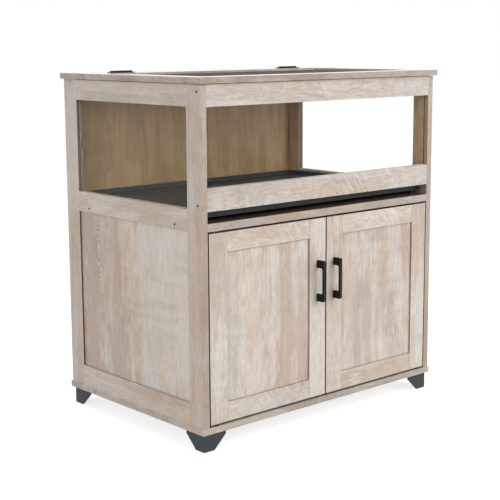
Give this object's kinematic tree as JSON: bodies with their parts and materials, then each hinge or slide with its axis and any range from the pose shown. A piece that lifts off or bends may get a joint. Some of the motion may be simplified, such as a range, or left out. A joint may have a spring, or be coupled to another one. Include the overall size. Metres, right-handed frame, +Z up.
{
  "type": "small animal cage",
  "caption": "Glazed small animal habitat with a hinged wire mesh lid and a pull-out tray, standing on a cupboard with inset panel doors, bow handles and bracket feet.",
  "frame": {"origin": "middle of the bounding box's underside, on the floor under the cage", "axes": "+Z up, front with doors and tray towards -Y, +X to the right as seen from the front"},
  "size_m": [0.829, 0.593, 0.8953],
  "materials": {
    "oak_board": "matt greige oak print on board",
    "back_board": "matt brown oak print on thin board",
    "clear_pane": "clear polished acrylic",
    "black_wire": "satin black coated wire",
    "black_foot": "fine-grained dark grey plastic",
    "black_tray": "satin black plastic",
    "black_handle": "satin black powder coat",
    "black_hinge": "satin black paint",
    "dark_screw": "black oxide",
    "plain_steel": "zinc plated",
    "black_plastic": "matt black plastic",
    "bumper_rubber": "soft black rubber",
    "dowel_wood": "plain beech"
  },
  "bodies": {
    "cabinet": {"base_board": "oak_board", "left_front_stile": "oak_board", "left_rear_stile": "oak_board", "left_head_rail": "oak_board", "left_middle_rail": "oak_board", "left_bottom_rail": "oak_board", "left_lower_panel": "oak_board", "right_front_stile": "oak_board", "right_rear_stile": "oak_board", "right_head_rail": "oak_board", "right_middle_rail": "oak_board", "right_bottom_rail": "oak_board", "right_lower_panel": "oak_board", "front_head_rail": "oak_board", "front_sill_rail": "oak_board", "divider_board": "oak_board", "habitat_back_panel": "back_board", "cabinet_back_panel": "back_board", "rear_top_board": "oak_board", "front_window": "clear_pane", "left_window": "clear_pane", "right_window": "clear_pane", "left_tray_runner": "oak_board", "right_tray_runner": "oak_board", "lid_bumpers": "bumper_rubber", "lid_hinge_fixed_leaves": "black_hinge", "fixed_leaf_screws": "black_hinge", "pivot_bushes": "black_plastic", "door_catches": "black_plastic", "front_left_foot": "black_foot", "front_right_foot": "black_foot", "rear_left_foot": "black_foot", "rear_right_foot": "black_foot", "foot_screws": "plain_steel", "frame_dowels": "dowel_wood", "assembly_screws": "dark_screw", "back_panel_screws": "plain_steel"},
    "lid": {"lid_front_rail": "oak_board", "lid_rear_rail": "oak_board", "lid_left_rail": "oak_board", "lid_right_rail": "oak_board", "lid_mesh": "black_wire", "lid_hinge_lid_leaves": "black_hinge", "lid_hinge_pins": "plain_steel", "lid_leaf_screws": "black_hinge"},
    "tray": {"tray": "black_tray"},
    "left_door": {"left_door_stiles": "oak_board", "left_door_rails": "oak_board", "left_door_panel": "oak_board", "left_door_pivots": "plain_steel", "left_strike_plate": "plain_steel", "left_handle": "black_handle", "left_handle_screws": "plain_steel"},
    "right_door": {"right_door_stiles": "oak_board", "right_door_rails": "oak_board", "right_door_panel": "oak_board", "right_door_pivots": "plain_steel", "right_strike_plate": "plain_steel", "right_handle": "black_handle", "right_handle_screws": "plain_steel"}
  },
  "joints": [
    {"name": "lid_hinge", "type": "hinge", "parent": "cabinet", "child": "lid", "pos_m": [0, 0.1875, 0.8927], "axis": [-1, 0, 0], "range_deg": [0, 180]},
    {"name": "tray_slide", "type": "slide", "parent": "cabinet", "child": "tray", "axis": [0, -1, 0], "range_m": [0, 0.4]},
    {"name": "left_door_hinge", "type": "hinge", "parent": "cabinet", "child": "left_door", "pos_m": [-0.363, -0.2635, 0.2965], "axis": [0, 0, -1], "range_deg": [0, 110]},
    {"name": "right_door_hinge", "type": "hinge", "parent": "cabinet", "child": "right_door", "pos_m": [0.363, -0.2635, 0.2965], "axis": [0, 0, 1], "range_deg": [0, 110]}
  ]
}
